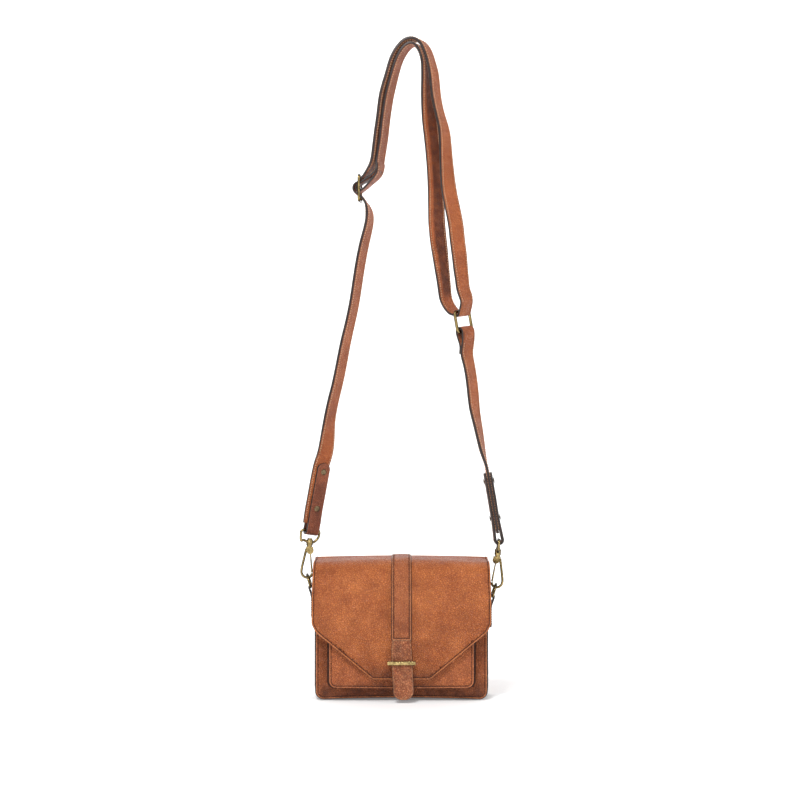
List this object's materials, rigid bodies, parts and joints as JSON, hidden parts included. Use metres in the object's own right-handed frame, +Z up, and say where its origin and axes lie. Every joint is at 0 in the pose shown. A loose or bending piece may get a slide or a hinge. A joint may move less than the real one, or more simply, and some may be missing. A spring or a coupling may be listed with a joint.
{
  "type": "sling bag",
  "caption": "Small structured leather sling bag with a pointed flap, pull tab, front pocket, side rings and a long adjustable clip-on shoulder strap.",
  "frame": {"origin": "bottom centre of the bag body, on the face the bag stands on", "axes": "+Z up along the hanging strap, +X to the right of someone facing the flap, the flap faces -Y"},
  "size_m": [0.2407, 0.0811, 0.7758],
  "materials": {
    "leather": "satin",
    "strap_leather": "satin",
    "tab_leather": "burnished",
    "lining": "matte",
    "brass": "antique",
    "steel": "satin"
  },
  "bodies": {
    "bag": {"back_panel": "leather", "front_panel": "leather", "gusset": "leather", "main_lining": "lining", "pocket_panel": "leather", "pocket_gusset": "leather", "pocket_lining": "lining", "snap_socket": "steel", "snap_socket_washer": "steel", "dring_tab_left": "leather", "dring_tab_right": "leather", "flap_back_hem": "leather"},
    "flap_top": {"flap_top_leather": "leather", "flap_top_lining": "lining", "flap_top_strip": "leather"},
    "flap_front": {"flap_front_leather": "leather", "flap_front_lining": "lining", "flap_front_strip": "leather", "snap_stud": "steel", "pull_tab_upper": "tab_leather", "keeper_bar": "brass", "keeper_washers": "steel"},
    "tab_end": {"pull_tab": "tab_leather"},
    "ring_left": {"dring_left": "brass"},
    "ring_right": {"dring_right": "brass"},
    "strap": {"long_strap": "strap_leather", "short_strap": "strap_leather", "end_tab_left": "tab_leather", "end_tab_right": "tab_leather", "end_rivets_left": "brass", "end_rivets_right": "brass", "hook_eye_left": "brass", "hook_eye_right": "brass"},
    "hook_left": {"hook_frame_left": "brass", "gate_pin_left": "brass", "gate_spring_left": "steel"},
    "gate_l": {"gate_left": "brass"},
    "hook_right": {"hook_frame_right": "brass", "gate_pin_right": "brass", "gate_spring_right": "steel"},
    "gate_r": {"gate_right": "brass"},
    "slider": {"strap_slider": "brass"},
    "strap_link": {"strap_ring": "brass"}
  },
  "joints": [
    {"name": "flap_back_fold", "type": "hinge", "parent": "bag", "child": "flap_top", "pos_m": [0, 0.032, 0.157], "axis": [-1, 0, 0], "range_deg": [0, 40]},
    {"name": "flap_front_fold", "type": "hinge", "parent": "flap_top", "child": "flap_front", "pos_m": [0, -0.036, 0.157], "axis": [-1, 0, 0], "range_deg": [0, 120]},
    {"name": "tab_lift", "type": "hinge", "parent": "flap_front", "child": "tab_end", "pos_m": [0, -0.0376, 0.0425], "axis": [-1, 0, 0], "range_deg": [0, 60]},
    {"name": "dring_left_swing", "type": "hinge", "parent": "bag", "child": "ring_left", "pos_m": [-0.1066, 0.018, 0.1284], "axis": [0, 1, 0], "range_deg": [-2, 2]},
    {"name": "dring_right_swing", "type": "hinge", "parent": "bag", "child": "ring_right", "pos_m": [0.1069, 0.018, 0.1171], "axis": [0, 1, 0], "range_deg": [-2, 2]},
    {"name": "strap_swing", "type": "hinge", "parent": "bag", "child": "strap", "pos_m": [0.00016, 0.018, 0.1263], "axis": [-0.9986, 0, 0.0522], "range_deg": [-35, 50]},
    {"name": "hook_left_swivel", "type": "hinge", "parent": "strap", "child": "hook_left", "pos_m": [-0.1088, 0.018, 0.1706], "axis": [0.0523, 0, 0.9986], "range_deg": [-15, 15]},
    {"name": "hook_right_swivel", "type": "hinge", "parent": "strap", "child": "hook_right", "pos_m": [0.113, 0.018, 0.1592], "axis": [0.0698, 0, 0.9976], "range_deg": [-10, 15]},
    {"name": "gate_left_open", "type": "hinge", "parent": "hook_left", "child": "gate_l", "pos_m": [-0.1076, 0.018, 0.17054], "axis": [0, 1, 0], "range_deg": [0, 18], "stiffness_Nm_per_rad": 0.02},
    {"name": "gate_right_open", "type": "hinge", "parent": "hook_right", "child": "gate_r", "pos_m": [0.11183, 0.01825, 0.15928], "axis": [-0.2074, -0.9781, 0.0145], "range_deg": [0, 18], "stiffness_Nm_per_rad": 0.02},
    {"name": "slider_tilt", "type": "hinge", "parent": "strap", "child": "slider", "pos_m": [-0.049, 0.018, 0.5975], "axis": [0.0872, 0.9962, 0], "range_deg": [-4, 3]},
    {"name": "strap_link_tilt", "type": "hinge", "parent": "strap", "child": "strap_link", "pos_m": [0.073, 0.018, 0.441], "axis": [0.7038, 0.6999, 0.1216], "range_deg": [-4, 4]}
  ]
}
